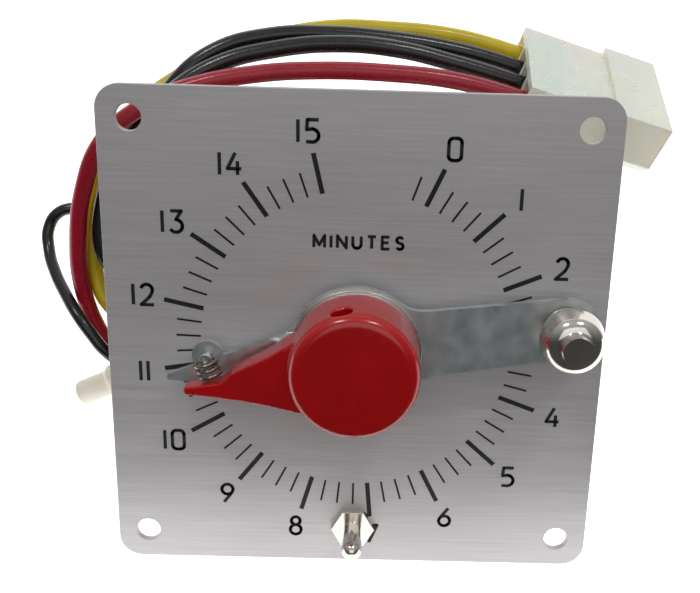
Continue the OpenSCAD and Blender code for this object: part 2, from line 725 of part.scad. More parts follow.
module shroud(hw, ht) rotate([90, 0, 90]) linear_extrude(shroud_len)
    polygon([[-hw, ht], [hw, ht], [hw, -ht + 2.6], [hw - 2.6, -ht], [-hw + 2.6, -ht], [-hw, -ht + 2.6]]);

module plug_contacts() color([0.86, 0.82, 0.66]) in_plug() for (i = [0:plug_ways - 1])
    translate([4, (i - (plug_ways - 1) / 2) * plug_pitch, 0]) {
        rotate([0, 90, 0]) cylinder(h = plug_len - 7, d = 2);
        rotate([0, 90, 0]) cylinder(h = 4, d = wire_d + 0.8);
    }

// Closed cap crimped on the far black wire and the short motor lead
splice_at = [-63.5, 18.5, -21.5];
splice_tilt = 25;
splice_len = 18;

module splice_cap() color([0.92, 0.92, 0.84]) translate(splice_at) rotate([0, 90 - splice_tilt, 0])
    rotate_extrude() polygon([[0, 0], [2.4, 0], [2.9, 0.6], [2.9, 7.6], [3.7, 8.6],
        [3.7, splice_len], [0, splice_len]]);

// The wires' routes, from the plug to the switch and from the motor to its two joints
red_route = [
    [36.4, 17.2, 47], [28, 16.4, 49.5], [18, 15.4, 51.7], [5, 14.3, 52.8], [-9, 12.9, 53],
    [-22, 11.5, 52], [-34, 10.2, 49.5], [-44.5, 9.2, 45], [-52.5, 8.6, 38], [-57, 9, 28],
    [-59, 9.7, 17], [-59, 10.4, 7.5], [-56.9, 11, -1.2], [-53.6, 10.8, -6.6], [-48.8, 10.6, -9],
    [-45.5, 10.6, -9]];
yellow_route = [
    [37.4, 34.5, 55], [29, 33.7, 57.5], [18.5, 32.8, 59.7], [5, 31.7, 60.7], [-8, 30.3, 60.6],
    [-20, 28.3, 58.2], [-31, 26, 54], [-41.5, 23.3, 48.6], [-49.3, 19, 41.8], [-54, 16.3, 33.5],
    [-56.5, 14.4, 23], [-57, 13.4, 13], [-55.8, 12.9, 5.6], [-53.4, 12.1, 2], [-49.9, 10.6, 0],
    [-45.5, 10.6, 0]];
black_near_route = [
    [36.7, 23, 49.6], [28.3, 22.2, 52.2], [19.5, 21.4, 54.5], [7, 20.2, 57.2], [-6, 19, 58],
    [-19, 17.6, 56.5], [-30, 16.2, 53.4], [-39.5, 14.3, 47.3], [-46.8, 12.5, 39.5],
    [-51.5, 11.5, 31], [-54, 11, 23], [-54.4, 10.7, 17], [-53.4, 10.6, 13], [-50.5, 10.6, 10.1],
    [-46.5, 10.6, 9], [-45.5, 10.6, 9]];
black_far_route = [
    [37, 28.7, 52.3], [28.6, 28, 54.9], [18, 27, 57.3], [5, 25.6, 59], [-8, 24.2, 59.7],
    [-20, 22.6, 59], [-31, 20.5, 55.8], [-39, 19, 49.5], [-44.2, 19.8, 41], [-47.3, 20.2, 30],
    [-47, 20.6, 19], [-42.5, 20.2, 6], [-37.9, 19.5, -2], [-37.5, 19, -5.6], [-38.8, 18.2, -9],
    [-41.7, 17.3, -11.4], [-47, 17.1, -13.8]];
loop_route = [
    [-27, 40.6, 25.5], [-35, 40.3, 25.9], [-43.5, 37, 26], [-51, 31, 24.8], [-57, 25.5, 22.6],
    [-62.3, 22.6, 21.4], [-66.5, 22, 20.2], [-68.8, 21.5, 16.8], [-68.4, 19.3, 12.3], [-66, 15, 8.5],
    [-62.5, 10.2, 5], [-59, 6.2, 1.7], [-56, 4.7, -1.8], [-53.2, 4.3, -5.3], [-50, 5.5, -8.2],
    [-46.8, 6.2, -9], [-45.5, 6.2, -9]];
short_route = [
    [-27, 40.6, 22.1], [-33, 40.6, 21], [-38.5, 39, 16.5], [-40.3, 35.5, 9], [-39.5, 31, 1.5],
    [-37.8, 26.8, -4.5], [-38.5, 23, -9.3], [-41.8, 20.6, -11.4], [-47, 20.4, -13.8]];

module wire_red() color([0.62, 0.02, 0.08]) tube(red_route, wire_d, 8);
module wire_yellow() color([0.85, 0.74, 0.02]) tube(yellow_route, wire_d, 8);
module wire_black_near() color([0.04, 0.04, 0.05]) tube(black_near_route, wire_d, 8);
module wire_black_far() color([0.04, 0.04, 0.05]) tube(black_far_route, wire_d, 8);
module motor_lead_loop() color([0.04, 0.04, 0.05]) tube(loop_route, lead_d, 8);
module motor_lead_short() color([0.04, 0.04, 0.05]) tube(short_route, lead_d, 8);

// ---------- main section ----------

dial_plate();
panel_bushing();
bushing_nut();
lock_washer();
friction_washer();
set_lever();
lever_sleeve();
lever_handle();
tip_rivet();
bumper_spring();
hub_washers();
pointer_knob();
knob_insert();
knob_set_screw();
stop_stud();
stop_stud_nut();
front_frame();
rear_frame();
frame_pillars();
pillar_screws();
sleeve_collar();
return_spring();
main_arbor();
switch_cam();
clutch_disc();
clutch_washer();
timing_wheel();
intermediate_pinion();
intermediate_wheel();
motor_pinion();
arbor_bush();
intermediate_bushes();
motor_can();
motor_cover();
motor_screws();
motor_grommet();
switch_case();
switch_lid();
switch_pin();
switch_leaf();
switch_button();
switch_tabs();
switch_screws();
terminal_boots();
harness_plug();
plug_contacts();
splice_cap();
wire_red();
wire_black_near();
wire_black_far();
wire_yellow();
motor_lead_loop();
motor_lead_short();
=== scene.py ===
# Looks of the panel timer: materials, rounded edges, the printed scale, and the wires.
# Everything is in metres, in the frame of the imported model: the dial faces -Y and +Z is up.
import json
import math

import bmesh
import bpy
from mathutils import Matrix, Vector

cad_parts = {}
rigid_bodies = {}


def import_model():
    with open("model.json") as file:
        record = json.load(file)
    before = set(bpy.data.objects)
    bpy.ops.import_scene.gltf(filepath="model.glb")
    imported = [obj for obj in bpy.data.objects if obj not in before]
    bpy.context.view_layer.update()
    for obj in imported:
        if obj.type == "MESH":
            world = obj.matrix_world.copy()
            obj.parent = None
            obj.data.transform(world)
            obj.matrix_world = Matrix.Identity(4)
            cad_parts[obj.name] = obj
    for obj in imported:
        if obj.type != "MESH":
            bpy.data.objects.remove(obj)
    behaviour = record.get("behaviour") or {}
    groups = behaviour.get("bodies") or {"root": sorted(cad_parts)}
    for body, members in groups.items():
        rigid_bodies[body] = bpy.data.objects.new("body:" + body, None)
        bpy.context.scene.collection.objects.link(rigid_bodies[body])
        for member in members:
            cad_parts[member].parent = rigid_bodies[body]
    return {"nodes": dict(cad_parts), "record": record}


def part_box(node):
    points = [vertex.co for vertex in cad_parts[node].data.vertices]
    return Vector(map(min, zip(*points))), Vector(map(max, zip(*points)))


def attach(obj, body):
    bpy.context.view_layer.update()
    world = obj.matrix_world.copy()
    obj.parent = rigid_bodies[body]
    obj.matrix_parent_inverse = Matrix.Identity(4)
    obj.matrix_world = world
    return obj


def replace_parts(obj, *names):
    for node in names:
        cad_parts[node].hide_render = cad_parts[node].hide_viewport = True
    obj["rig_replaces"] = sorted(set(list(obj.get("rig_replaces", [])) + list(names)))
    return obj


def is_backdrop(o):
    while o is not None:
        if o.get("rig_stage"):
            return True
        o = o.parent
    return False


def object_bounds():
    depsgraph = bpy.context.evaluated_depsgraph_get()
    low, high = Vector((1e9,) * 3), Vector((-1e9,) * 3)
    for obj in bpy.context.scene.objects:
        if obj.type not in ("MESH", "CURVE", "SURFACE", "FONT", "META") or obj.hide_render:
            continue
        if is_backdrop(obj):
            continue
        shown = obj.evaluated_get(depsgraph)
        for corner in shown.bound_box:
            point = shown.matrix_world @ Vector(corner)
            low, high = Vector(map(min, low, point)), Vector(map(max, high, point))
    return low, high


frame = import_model()
cad_low, cad_high = (tuple(corner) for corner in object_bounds())
bodies = frame["record"]["behaviour"]["bodies"]
body_of_node = {node: body for body, nodes in bodies.items() for node in nodes}
slot_of_node = {part["node"]: part["material_slot"] for part in frame["record"]["subparts"]}

MM = 0.001

# ---------- sizes read from the frame ----------

plate_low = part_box("dial_plate")[0]
PLATE_FRONT = plate_low.y

# Angles on the dial, clockwise from the top, and the top of the lever, in millimetres
ZERO_ANGLE, MINUTE_ANGLE = 24.3, 21.5
LEVER_MINUTES = 10.99
LEVER_TOP = 5.8

# ---------- camera ----------

CAMERA_PLACE = Vector((3.07, -191.43, 68.99)) * MM
CAMERA_TILT = (71.97, -1.65, -0.2)
SENSOR = 36.0
LENS = 50.7
LENS_SHIFT = (-0.0493, 0.0195)


def make_camera():
    data = bpy.data.cameras.new("camera")
    data.sensor_width = SENSOR
    data.lens = LENS
    data.shift_x, data.shift_y = LENS_SHIFT
    data.clip_start = 0.01
    data.clip_end = 20
    camera = bpy.data.objects.new("camera", data)
    camera.location = CAMERA_PLACE
    camera.rotation_euler = [math.radians(a) for a in CAMERA_TILT]
    bpy.context.collection.objects.link(camera)
    bpy.context.scene.camera = camera


make_camera()

# ---------- material helpers ----------


class Finish:
    """A material being built: its shader and the nodes that feed it."""

    def __init__(self, name, color, roughness=0.4, metallic=0.0, **sockets):
        self.material = bpy.data.materials.new(name)
        self.material.use_nodes = True
        self.tree = self.material.node_tree
        self.shader = self.tree.nodes["Principled BSDF"]
        self.material.diffuse_color = (*color, 1)
        self.set(self.shader, "Base Color", (*color, 1))
        self.set(self.shader, "Roughness", roughness)
        self.set(self.shader, "Metallic", metallic)
        for socket, value in sockets.items():
            self.set(self.shader, socket.replace("_", " ").title().replace("Ior", "IOR"), value)
        self.place = self.tree.nodes.new("ShaderNodeTexCoord").outputs["Object"]

    def set(self, node, socket, value):
        node.inputs[socket].default_value = value

    def link(self, output, node, socket):
        self.tree.links.new(output, node.inputs[socket])

    def noise(self, scale, stretch=(1, 1, 1), detail=3, turn=(0, 0, 0)):
        """Noise whose grain is scale per metre, pulled out along the axes with a small stretch."""
        mapping = self.tree.nodes.new("ShaderNodeMapping")
        self.set(mapping, "Scale", stretch)
        self.set(mapping, "Rotation", [math.radians(a) for a in turn])
        self.link(self.place, mapping, "Vector")
        noise = self.tree.nodes.new("ShaderNodeTexNoise")
        self.set(noise, "Scale", scale)
        self.set(noise, "Detail", detail)
        self.link(mapping.outputs["Vector"], noise, "Vector")
        return noise.outputs["Fac"]

    def spread(self, fac, low, high, start=0.3, end=0.7):
        """fac from start to end becomes a number from low to high."""
        node = self.tree.nodes.new("ShaderNodeMapRange")
        for socket, value in (("From Min", start), ("From Max", end), ("To Min", low), ("To Max", high)):
            self.set(node, socket, value)
        self.link(fac, node, "Value")
        return node.outputs["Result"]

    def colors(self, fac, *stops):
        """Base colour from a ramp of (position, colour) stops."""
        ramp = self.tree.nodes.new("ShaderNodeValToRGB")
        elements = ramp.color_ramp.elements
        while len(elements) < len(stops):
            elements.new(0.5)
        for element, (position, color) in zip(elements, stops):
            element.position = position
            element.color = (*color, 1)
        self.link(fac, ramp, "Fac")
        self.link(ramp.outputs["Color"], self.shader, "Base Color")
        return ramp.outputs["Color"]

    def rough(self, fac, low, high):
        self.link(self.spread(fac, low, high), self.shader, "Roughness")

    def bump(self, fac, depth, strength=0.5):
        node = self.tree.nodes.new("ShaderNodeBump")
        self.set(node, "Strength", strength)
        self.set(node, "Distance", depth)
        self.link(fac, node, "Height")
        self.link(node.outputs["Normal"], self.shader, "Normal")


def shade(color, factor):
    return tuple(min(1, c * factor) for c in color)


# ---------- finishes ----------


def brushed_aluminium():
    finish = Finish("brushed_aluminium", (0.42, 0.40, 0.405), 0.45, 0.35)
    lines = finish.noise(2600, (0.02, 1, 1), 3)
    cloud = finish.noise(45, (0.5, 1, 1), 3)
    mix = finish.tree.nodes.new("ShaderNodeMath")
    mix.operation = "MULTIPLY_ADD"
    finish.link(lines, mix, 0)
    finish.set(mix, 1, 0.8)
    scaled = finish.spread(cloud, 0.05, 0.17)
    finish.link(scaled, mix, 2)
    finish.colors(
        mix.outputs[0],
        (0.28, (0.47, 0.452, 0.458)), (0.52, (0.53, 0.512, 0.518)), (0.78, (0.60, 0.585, 0.59)))
    finish.rough(lines, 0.4, 0.52)
    finish.bump(lines, 0.000006, 0.3)
    return finish.material


def zinc_steel():
    """Zinc plated spring steel with a blue cast and soft blotches."""
    finish = Finish("zinc_steel", (0.60, 0.65, 0.67), 0.3, 0.8)
    blotch = finish.noise(260, (1, 1, 1), 4)
    finish.colors(blotch, (0.3, (0.52, 0.58, 0.595)), (0.5, (0.60, 0.655, 0.67)), (0.72, (0.70, 0.735, 0.74)))
    finish.rough(blotch, 0.26, 0.36)
    finish.bump(finish.noise(2500, (1, 1, 0.2), 2), 0.00001, 0.4)
    return finish.material


def plated_metal(name, color, roughness, metallic=1.0, grain=1200, grain_depth=0.000006):
    """Turned or stamped metal with a thin plating: fine marks and slight changes of gloss."""
    finish = Finish(name, color, roughness, metallic)
    wear = finish.noise(320, (1, 1, 1), 4)
    finish.colors(wear, (0.3, shade(color, 0.93)), (0.5, color), (0.75, shade(color, 1.05)))
    finish.rough(wear, roughness * 0.9, roughness * 1.12)
    finish.bump(finish.noise(grain, (1, 1, 1), 2), grain_depth, 0.4)
    return finish.material


def moulded(name, color, roughness, coat=0.0, grain=900, grain_depth=0.00001, **sockets):
    """Moulded plastic or rubber: a faint skin texture and slight changes of tone."""
    finish = Finish(name, color, roughness, 0.0, coat_weight=coat, coat_roughness=0.08, **sockets)
    tone = finish.noise(90, (1, 1, 1), 3)
    finish.colors(tone, (0.3, shade(color, 0.9)), (0.7, shade(color, 1.08)))
    skin = finish.noise(grain, (1, 1, 1), 3)
    finish.rough(skin, roughness * 0.85, roughness * 1.2)
    finish.bump(skin, grain_depth, 0.35)
    return finish.material


def natural_nylon():
    finish = Finish(
        "natural_nylon", (0.95, 0.96, 0.80), 0.28, 0.0, transmission_weight=0.2, ior=1.52,
        subsurface_weight=0.4, subsurface_scale=0.01,
    )
    milk = finish.noise(120, (1, 1, 1), 3)
    finish.colors(milk, (0.3, (0.96, 0.97, 0.80)), (0.7, (0.98, 0.98, 0.88)))
    finish.rough(milk, 0.22, 0.36)
    finish.bump(finish.noise(500, (1, 1, 1), 2), 0.00002, 0.2)
    return finish.material


INK = moulded("scale_ink", (0.004, 0.004, 0.005), 0.6)
ALUMINIUM = brushed_aluminium()
ZINC = zinc_steel()
NYLON = natural_nylon()
FINISHES = {
    "plate": ALUMINIUM,
    "lever_steel": ZINC,
    "nylon": NYLON,
    "brass": plated_metal("turned_brass", (0.72, 0.53, 0.22), 0.3),
    "plain_steel": plated_metal("bright_steel", (0.66, 0.66, 0.63), 0.28),
    "nickel": plated_metal("nickel_plate", (0.74, 0.71, 0.65), 0.14, grain=600),
    "spring_steel": plated_metal("spring_wire", (0.27, 0.25, 0.22), 0.22),
    "motor_steel": plated_metal("motor_zinc", (0.62, 0.64, 0.66), 0.33, grain=250, grain_depth=0.00002),
    "tinned": plated_metal("tinned_brass", (0.74, 0.70, 0.58), 0.3),
    "black_screw": plated_metal("black_oxide", (0.03, 0.03, 0.034), 0.4, 0.8),
    "red_plastic": moulded("red_gloss_plastic", (0.5, 0.0004, 0.002), 0.24, 0.4, grain=420, grain_depth=0.000015),
    "black_plastic": moulded("black_plastic", (0.016, 0.016, 0.018), 0.45),
    "button_red": moulded("button_red", (0.5, 0.02, 0.015), 0.3),
    "boot_red": moulded("boot_vinyl", (0.5, 0.015, 0.015), 0.35),
    "fibre": moulded("clutch_fibre", (0.16, 0.05, 0.03), 0.7, grain=1500, grain_depth=0.00003),
    "black_rubber": moulded("grommet_rubber", (0.014, 0.014, 0.014), 0.6),
    "wire_red": moulded("red_insulation", (0.36, 0.002, 0.018), 0.3, 0.15),
    "wire_yellow": moulded("yellow_insulation", (0.66, 0.50, 0.004), 0.3, 0.15),
    "wire_black": moulded("black_insulation", (0.006, 0.006, 0.008), 0.26, 0.2),
}

# ---------- helpers that put pieces in place ----------


def put(piece, node=None, body=None, slot=None, material=None):
    """Rides the piece on its body, gives it its finish, and hides the CAD node that it stands for."""
    body = body or body_of_node[node]
    slot = slot or slot_of_node[node]
    if piece.name not in bpy.context.collection.objects:
        bpy.context.collection.objects.link(piece)
    piece.data.materials.clear()
    piece.data.materials.append(material or FINISHES[slot])
    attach(piece, body)
    if node:
        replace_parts(piece, node)
    return piece


def object_from(bm, name):
    mesh = bpy.data.meshes.new(name)
    bm.to_mesh(mesh)
    bm.free()
    return bpy.data.objects.new(name, mesh)


def smooth_by_angle(piece, degrees=40):
    """Smooth shading with an edge kept sharp where two faces meet at a larger angle."""
    bm = bmesh.new()
    bm.from_mesh(piece.data)
    limit = math.radians(degrees)
    for face in bm.faces:
        face.smooth = True
    for edge in bm.edges:
        if len(edge.link_faces) == 2:
            edge.smooth = edge.calc_face_angle(0) < limit
    bm.to_mesh(piece.data)
    bm.free()


def softened(node, width, segments=2, angle=32):
    """A copy of a CAD node whose hard edges are broken by a small radius."""
    bm = bmesh.new()
    bm.from_mesh(frame["nodes"][node].data)
    bmesh.ops.remove_doubles(bm, verts=bm.verts, dist=1e-6)
    bmesh.ops.dissolve_limit(
        bm, angle_limit=math.radians(1), use_dissolve_boundaries=False, verts=bm.verts, edges=bm.edges)
    piece = object_from(bm, node + "_part")
    if width:
        bevel = piece.modifiers.new("broken_edges", "BEVEL")
        bevel.width = width * MM
        bevel.segments = segments
        bevel.limit_method = "ANGLE"
        bevel.angle_limit = math.radians(angle)
        bevel.harden_normals = True
    smooth_by_angle(piece)
    return put(piece, node)


def apply_modifiers(piece):
    """Turns a finished piece's modifiers into plain mesh."""
    graph = bpy.context.evaluated_depsgraph_get()
    mesh = bpy.data.meshes.new_from_object(piece.evaluated_get(graph))
    piece.modifiers.clear()
    piece.data = mesh


# From a drawing seen from the front (right, up, out towards the viewer) to the frame
FROM_FRONT = Matrix.Translation((0, PLATE_FRONT, 0)) @ Matrix.Rotation(math.radians(90), 4, "X")


def dial_point(radius, clockwise):
    a = math.radians(clockwise)
    return Vector((radius * math.sin(a), radius * math.cos(a), 0)) * MM


def arc(x, y, radius, start, end, steps=8):
    """Points of an arc in millimetres, from one angle to another in degrees."""
    angles = [math.radians(start + (end - start) * i / steps) for i in range(steps + 1)]
    return [(x + radius * math.cos(a), y + radius * math.sin(a)) for a in angles]


def turned(name, profile, place, node, steps=64, angle=35):
    """A part turned on a lathe: profile is (radius, height) in millimetres, and place its axis on the dial."""
    bm = bmesh.new()
    points = [bm.verts.new((r * MM, 0, h * MM)) for r, h in profile]
    edges = [bm.edges.new(pair) for pair in zip(points, points[1:])]
    bmesh.ops.spin(
        bm, geom=points + edges, axis=(0, 0, 1), cent=(0, 0, 0), steps=steps, angle=math.tau, use_merge=True)
    bmesh.ops.remove_doubles(bm, verts=bm.verts, dist=1e-7)
    bmesh.ops.recalc_face_normals(bm, faces=bm.faces)
    bm.transform(FROM_FRONT @ Matrix.Translation(place))
    piece = object_from(bm, name)
    smooth_by_angle(piece, angle)
    return put(piece, node)


def line_piece(name, run, thickness, resolution):
    """A round line along a run of points, in metres."""
    curve = bpy.data.curves.new(name, "CURVE")
    curve.dimensions = "3D"
    curve.bevel_depth = thickness / 2
    curve.bevel_resolution = resolution
    curve.use_fill_caps = True
    spline = curve.splines.new("POLY")
    spline.points.add(len(run) - 1)
    for point, place in zip(spline.points, run):
        point.co = (*place, 1)
    return bpy.data.objects.new(name, curve)


# ---------- wires ----------

WIRE = 3.6
LEAD = 2.6
ROUTES = {
    "wire_red": (WIRE, [
        (36.4, 17.2, 47), (28, 16.4, 49.5), (18, 15.4, 51.7), (5, 14.3, 52.8), (-9, 12.9, 53),
        (-22, 11.5, 52), (-34, 10.2, 49.5), (-44.5, 9.2, 45), (-52.5, 8.6, 38), (-57, 9, 28),
        (-59, 9.7, 17), (-59, 10.4, 7.5), (-56.9, 11, -1.2), (-53.6, 10.8, -6.6), (-48.8, 10.6, -9),
        (-45.5, 10.6, -9)]),
    "wire_yellow": (WIRE, [
        (37.4, 34.5, 55), (29, 33.7, 57.5), (18.5, 32.8, 59.7), (5, 31.7, 60.7), (-8, 30.3, 60.6),
        (-20, 28.3, 58.2), (-31, 26, 54), (-41.5, 23.3, 48.6), (-49.3, 19, 41.8), (-54, 16.3, 33.5),
        (-56.5, 14.4, 23), (-57, 13.4, 13), (-55.8, 12.9, 5.6), (-53.4, 12.1, 2), (-49.9, 10.6, 0),
        (-45.5, 10.6, 0)]),
    "wire_black_near": (WIRE, [
        (36.7, 23, 49.6), (28.3, 22.2, 52.2), (19.5, 21.4, 54.5), (7, 20.2, 57.2), (-6, 19, 58),
        (-19, 17.6, 56.5), (-30, 16.2, 53.4), (-39.5, 14.3, 47.3), (-46.8, 12.5, 39.5),
        (-51.5, 11.5, 31), (-54, 11, 23), (-54.4, 10.7, 17), (-53.4, 10.6, 13), (-50.5, 10.6, 10.1),
        (-46.5, 10.6, 9), (-45.5, 10.6, 9)]),
    "wire_black_far": (WIRE, [
        (37, 28.7, 52.3), (28.6, 28, 54.9), (18, 27, 57.3), (5, 25.6, 59), (-8, 24.2, 59.7),
        (-20, 22.6, 59), (-31, 20.5, 55.8), (-39, 19, 49.5), (-44.2, 19.8, 41), (-47.3, 20.2, 30),
        (-47, 20.6, 19), (-42.5, 20.2, 6), (-37.9, 19.5, -2), (-37.5, 19, -5.6), (-38.8, 18.2, -9),
        (-41.7, 17.3, -11.4), (-47, 17.1, -13.8)]),
    "motor_lead_loop": (LEAD, [
        (-27, 40.6, 25.5), (-35, 40.3, 25.9), (-43.5, 37, 26), (-51, 31, 24.8), (-57, 25.5, 22.6),
        (-62.3, 22.6, 21.4), (-66.5, 22, 20.2), (-68.8, 21.5, 16.8), (-68.4, 19.3, 12.3), (-66, 15, 8.5),
        (-62.5, 10.2, 5), (-59, 6.2, 1.7), (-56, 4.7, -1.8), (-53.2, 4.3, -5.3), (-50, 5.5, -8.2),
        (-46.8, 6.2, -9), (-45.5, 6.2, -9)]),
    "motor_lead_short": (LEAD, [
        (-27, 40.6, 22.1), (-33, 40.6, 21), (-38.5, 39, 16.5), (-40.3, 35.5, 9), (-39.5, 31, 1.5),
        (-37.8, 26.8, -4.5), (-38.5, 23, -9.3), (-41.8, 20.6, -11.4), (-47, 20.4, -13.8)]),
}


def make_wire(node):
    """A wire as a smooth curve through the points of its route."""
    diameter, route = ROUTES[node]
    curve = bpy.data.curves.new(node + "_insulation", "CURVE")
    curve.dimensions = "3D"
    curve.resolution_u = 8
    curve.bevel_depth = diameter / 2 * MM
    curve.bevel_resolution = 6
    curve.use_fill_caps = True
    spline = curve.splines.new("BEZIER")
    spline.bezier_points.add(len(route) - 1)
    for point, place in zip(spline.bezier_points, route):
        point.co = Vector(place) * MM
        point.handle_left_type = point.handle_right_type = "AUTO"
    piece = put(bpy.data.objects.new(node + "_insulation", curve), node)
    bpy.context.view_layer.update()
    length = sum(s.calc_length() for s in curve.splines)
    return piece, length, Vector(route[-1]) * MM, diameter * MM


wires = {node: make_wire(node) for node in ROUTES}

# ---------- knob, pointer and what turns with them ----------


def make_knob():
    """The moulded knob: the CAD shape with its joints and edges melted together."""
    bm = bmesh.new()
    bm.from_mesh(frame["nodes"]["pointer_knob"].data)
    bmesh.ops.remove_doubles(bm, verts=bm.verts, dist=1e-6)
    knob = object_from(bm, "red_knob_and_pointer")
    bpy.context.collection.objects.link(knob)
    remesh = knob.modifiers.new("skin", "REMESH")
    remesh.mode = "VOXEL"
    remesh.voxel_size = 0.24 * MM
    smooth = knob.modifiers.new("melt", "SMOOTH")
    smooth.factor = 0.5
    smooth.iterations = 10
    apply_modifiers(knob)
    for polygon in knob.data.polygons:
        polygon.use_smooth = True
    return put(knob, "pointer_knob")


make_knob()

# ---------- handle ----------

handle_low, handle_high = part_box("lever_handle")
HANDLE_TOP = (PLATE_FRONT - handle_low.y) / MM
HANDLE_AXIS = Vector(((handle_low.x + handle_high.x) / 2, (handle_low.z + handle_high.z) / 2, 0))
HEAD_R = (handle_high.x - handle_low.x) / 2 / MM


def make_handle():
    """Foot, hollow neck, round rim, broad bevel and a small flat face with turning rings."""
    neck = arc(5.6, LEVER_TOP + 3.1, 2.9, 250, 118, 10)
    rim = arc(HEAD_R - 1.5, LEVER_TOP + 6.2, 1.5, -70, 25, 8)
    bevel = arc(2.9, HANDLE_TOP - 5.3, HEAD_R - 3.2, 32, 82, 10)
    face = [(2.9, HANDLE_TOP), (2.4, HANDLE_TOP - 0.05), (2.0, HANDLE_TOP), (1.5, HANDLE_TOP - 0.05),
            (1.1, HANDLE_TOP), (0.6, HANDLE_TOP - 0.05), (0, HANDLE_TOP)]
    foot = [(0, LEVER_TOP - 2.1), (2.8, LEVER_TOP - 2.1), (2.8, LEVER_TOP - 1.6), (2, LEVER_TOP - 1.6),
            (2, LEVER_TOP), (3.6, LEVER_TOP), (3.7, LEVER_TOP + 0.3)]
    return turned("turned_handle", foot + neck + rim + bevel + face, HANDLE_AXIS, "lever_handle", 72, 30)


make_handle()

# ---------- bumper spring ----------


def make_bumper():
    """The coil beside the pointed end of the lever, wound round the rivet."""
    low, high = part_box("bumper_spring")
    lever_angle = ZERO_ANGLE + MINUTE_ANGLE * LEVER_MINUTES
    coil_d, wire_d, pitch, turns, lean = 5, 0.75, 1.25, 2.8, math.radians(13)
    ear_out, ear_reach = 3.4, 29.55
    height = LEVER_TOP + coil_d / 2 + 0.05
    run = []
    steps = 36
    turn = Matrix.Rotation(-math.radians(lever_angle), 4, "Z")
    for i in range(int(turns * steps) + 1):
        a = math.radians(-59) + math.tau * i / steps
        across = (coil_d - wire_d) / 2 * math.cos(a)
        along = i * pitch / steps
        local = Vector((
            ear_out - along * math.cos(lean) - across * math.sin(lean),
            ear_reach - along * math.sin(lean) + across * math.cos(lean),
            height + (coil_d - wire_d) / 2 * math.sin(a))) * MM
        run.append(FROM_FRONT @ turn @ local)
    coil = line_piece("bumper_coil", run, wire_d * MM, resolution=4)
    return put(coil, "bumper_spring")


make_bumper()

# ---------- printed scale ----------

SCALE_CENTRE = Vector((0, -0.2, 0)) * MM
TICK_START, MAJOR_END, MINOR_END = 31.8, 39.9, 36.8
NUMBER_RADIUS = 44.2
DIGIT_HEIGHT = 5.0
DIGIT_STROKE = 0.7
MAJOR_WIDTH, MINOR_WIDTH = 0.95, 0.42
WORD_PLACE = 21.4
INK_DEPTH = 0.03

# Single-line characters in a box one unit high, each a list of lines and whether it is closed
SHAPES = {
    "0": (0.58, [(arc(0.38, 0.8, 0.2, 0, 90, 4) + arc(0.2, 0.8, 0.2, 90, 180, 4)
                  + arc(0.2, 0.2, 0.2, 180, 270, 4) + arc(0.38, 0.2, 0.2, 270, 360, 4), True)]),
    "1": (0.0, [([(0, 1), (0, 0)], False)]),
    "2": (0.56, [(arc(0.28, 0.73, 0.27, 165, -20, 9) + [(0.42, 0.4), (0, 0), (0.6, 0)], False)]),
    "3": (0.56, [([(0.02, 1), (0.52, 1), (0.27, 0.6)] + arc(0.26, 0.3, 0.3, 80, -150, 10), False)]),
    "4": (0.6, [([(0.36, 1), (0, 0.28), (0.62, 0.28)], False), ([(0.45, 0.62), (0.45, 0)], False)]),
    "5": (0.56, [([(0.56, 1), (0.06, 1), (0.03, 0.56), (0.3, 0.6)] + arc(0.28, 0.3, 0.29, 80, -100, 9)
                  + [(0, 0.03)], False)]),
    "6": (0.56, [([(0.46, 1), (0.1, 0.52)], False), (arc(0.28, 0.28, 0.28, 0, 360, 16)[:-1], True)]),
    "7": (0.56, [([(0, 1), (0.58, 1), (0.18, 0)], False)]),
    "8": (0.56, [(arc(0.28, 0.275, 0.275, 0, 360, 16)[:-1], True),
                 (arc(0.28, 0.77, 0.225, 0, 360, 16)[:-1], True)]),
    "M": (0.86, [([(0, 0), (0, 1), (0.43, 0.2), (0.86, 1), (0.86, 0)], False)]),
    "I": (0.0, [([(0, 1), (0, 0)], False)]),
    "N": (0.72, [([(0, 0), (0, 1), (0.72, 0), (0.72, 1)], False)]),
    "U": (0.68, [([(0, 1)] + arc(0.34, 0.34, 0.34, 180, 360, 10) + [(0.68, 1)], False)]),
    "T": (0.66, [([(0, 1), (0.66, 1)], False), ([(0.33, 1), (0.33, 0)], False)]),
    "E": (0.58, [([(0.58, 1), (0, 1), (0, 0), (0.6, 0)], False), ([(0, 0.52), (0.52, 0.52)], False)]),
    "S": (0.62, [(arc(0.32, 0.75, 0.25, 25, 180, 8) + [(0.14, 0.58), (0.5, 0.44)]
                  + arc(0.33, 0.27, 0.27, 20, -150, 8), False)]),
    "9": (0.56, [([(0.1, 0), (0.46, 0.48)], False), (arc(0.28, 0.72, 0.28, 0, 360, 16)[:-1], True)]),
}


def add_bar(bm, start, end, width):
    """A thin flat bar of ink from one point of the drawing to another."""
    along = end - start
    made = bmesh.ops.create_cube(bm, size=1)["verts"]
    bmesh.ops.scale(bm, vec=(along.length, width, 2 * INK_DEPTH * MM), verts=made)
    turn = Matrix.Rotation(math.atan2(along.y, along.x), 4, "Z")
    bmesh.ops.transform(bm, matrix=Matrix.Translation((start + end) / 2) @ turn, verts=made)


def add_joint(bm, place, width):
    """A round spot of ink where two bars meet."""
    made = bmesh.ops.create_cone(
        bm, cap_ends=True, segments=14, radius1=width / 2, radius2=width / 2, depth=2 * INK_DEPTH * MM)["verts"]
    bmesh.ops.translate(bm, vec=place, verts=made)


